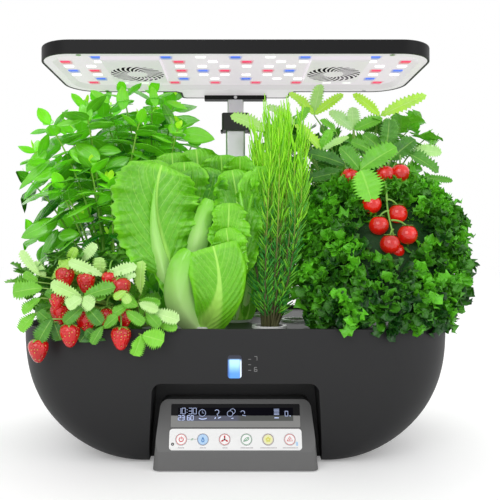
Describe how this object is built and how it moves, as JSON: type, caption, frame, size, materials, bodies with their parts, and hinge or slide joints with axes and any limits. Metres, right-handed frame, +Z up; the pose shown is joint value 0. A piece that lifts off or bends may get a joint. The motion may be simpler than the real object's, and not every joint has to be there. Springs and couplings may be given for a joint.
{
  "type": "countertop hydroponic garden",
  "caption": "Countertop hydroponic garden: bowl-shaped water tank with a front control console, a planted deck and a raised LED grow lamp on a telescopic pole.",
  "frame": {"origin": "on the table, below the centre of the tank", "axes": "+X to the right seen from the console, +Y to the back, +Z up"},
  "size_m": [0.47, 0.292, 0.399],
  "materials": {
    "tank_black": "satin",
    "deck_black": "satin",
    "console_grey": "satin",
    "lamp_black": "satin",
    "white_plastic": "satin",
    "grey_plastic": "satin",
    "window_clear": "gloss",
    "display_glass": "gloss",
    "rubber_black": "matte",
    "sponge_brown": "matte",
    "float_blue": "gloss",
    "steel": "satin",
    "pole_silver": "satin",
    "circuit_green": "satin",
    "board_white": "satin",
    "led_white": "gloss",
    "led_red": "gloss",
    "led_blue": "gloss",
    "basil_green": "matte",
    "strawberry_green": "matte",
    "romaine_green": "matte",
    "lettuce_green": "matte",
    "rosemary_green": "matte",
    "tomato_green": "matte",
    "parsley_green": "matte",
    "berry_red": "gloss",
    "tomato_red": "gloss"
  },
  "bodies": {
    "garden": {"water_tank": "tank_black", "tank_feet": "rubber_black", "tank_window": "window_clear", "window_gasket": "rubber_black", "float_guide": "grey_plastic", "grow_deck": "deck_black", "grow_baskets": "white_plastic", "grow_sponges": "sponge_brown", "fill_lid_pin": "steel", "pump_body": "grey_plastic", "pump_shaft": "steel", "pump_cover": "grey_plastic", "pump_tube": "grey_plastic", "console_shell": "console_grey", "console_base": "console_grey", "console_feet": "rubber_black", "display_window": "display_glass", "display_module": "display_glass", "key_strip": "white_plastic", "control_board": "circuit_green", "touch_switches": "rubber_black", "pole_socket": "tank_black", "power_jack": "rubber_black", "pole_outer": "pole_silver", "pole_collar": "tank_black", "friction_pad": "rubber_black", "fixing_screws": "steel", "strawberry_fruits": "berry_red", "tomato_truss": "tomato_red", "strawberry_plant": "strawberry_green", "parsley_plant": "parsley_green", "tomato_plant": "tomato_green", "basil_plant": "basil_green", "romaine_plant": "romaine_green", "leaf_lettuce_plant": "lettuce_green", "rosemary_plant": "rosemary_green"},
    "lamp": {"lamp_shell": "lamp_black", "lamp_bezel": "white_plastic", "led_board": "board_white", "leds_white": "led_white", "leds_red": "led_red", "leds_blue": "led_blue", "fan_frame_left": "grey_plastic", "fan_frame_right": "grey_plastic", "lamp_bracket": "lamp_black", "lamp_screws": "steel", "pole_inner": "pole_silver"},
    "fan_left": {"fan_rotor_left": "grey_plastic"},
    "fan_right": {"fan_rotor_right": "grey_plastic"},
    "float": {"level_float": "float_blue"},
    "impeller": {"pump_impeller": "white_plastic"},
    "lid": {"fill_lid": "deck_black"},
    "key_power": {"key_power": "white_plastic"},
    "key_pump": {"key_pump": "white_plastic"},
    "key_fan": {"key_fan": "white_plastic"},
    "key_leaf": {"key_leaf": "white_plastic"},
    "key_flower": {"key_flower": "white_plastic"},
    "key_reset": {"key_reset": "white_plastic"}
  },
  "joints": [
    {"name": "lamp_height", "type": "slide", "parent": "garden", "child": "lamp", "axis": [0, 0, 1], "range_m": [0, 0.15]},
    {"name": "fan_left_spin", "type": "hinge", "parent": "lamp", "child": "fan_left", "pos_m": [-0.104, -0.0215, 0.392], "axis": [0, 0, 1], "continuous": true},
    {"name": "fan_right_spin", "type": "hinge", "parent": "lamp", "child": "fan_right", "pos_m": [0.104, -0.0215, 0.392], "axis": [0, 0, 1], "continuous": true},
    {"name": "float_rise", "type": "slide", "parent": "garden", "child": "float", "axis": [0, 0, 1], "range_m": [0, 0.008]},
    {"name": "impeller_spin", "type": "hinge", "parent": "garden", "child": "impeller", "pos_m": [-0.066, 0.025, 0.021], "axis": [0, 1, 0], "continuous": true},
    {"name": "lid_hinge", "type": "hinge", "parent": "garden", "child": "lid", "pos_m": [0.118, 0.0938, 0.1266], "axis": [-1, 0, 0], "range_deg": [0, 100]},
    {"name": "key_power_press", "type": "slide", "parent": "garden", "child": "key_power", "axis": [0, 0.9225, -0.3859], "range_m": [0, 0.0005], "stiffness_N_per_m": 800},
    {"name": "key_pump_press", "type": "slide", "parent": "garden", "child": "key_pump", "axis": [0, 0.9225, -0.3859], "range_m": [0, 0.0005], "stiffness_N_per_m": 800},
    {"name": "key_fan_press", "type": "slide", "parent": "garden", "child": "key_fan", "axis": [0, 0.9225, -0.3859], "range_m": [0, 0.0005], "stiffness_N_per_m": 800},
    {"name": "key_leaf_press", "type": "slide", "parent": "garden", "child": "key_leaf", "axis": [0, 0.9225, -0.3859], "range_m": [0, 0.0005], "stiffness_N_per_m": 800},
    {"name": "key_flower_press", "type": "slide", "parent": "garden", "child": "key_flower", "axis": [0, 0.9225, -0.3859], "range_m": [0, 0.0005], "stiffness_N_per_m": 800},
    {"name": "key_reset_press", "type": "slide", "parent": "garden", "child": "key_reset", "axis": [0, 0.9225, -0.3859], "range_m": [0, 0.0005], "stiffness_N_per_m": 800}
  ]
}
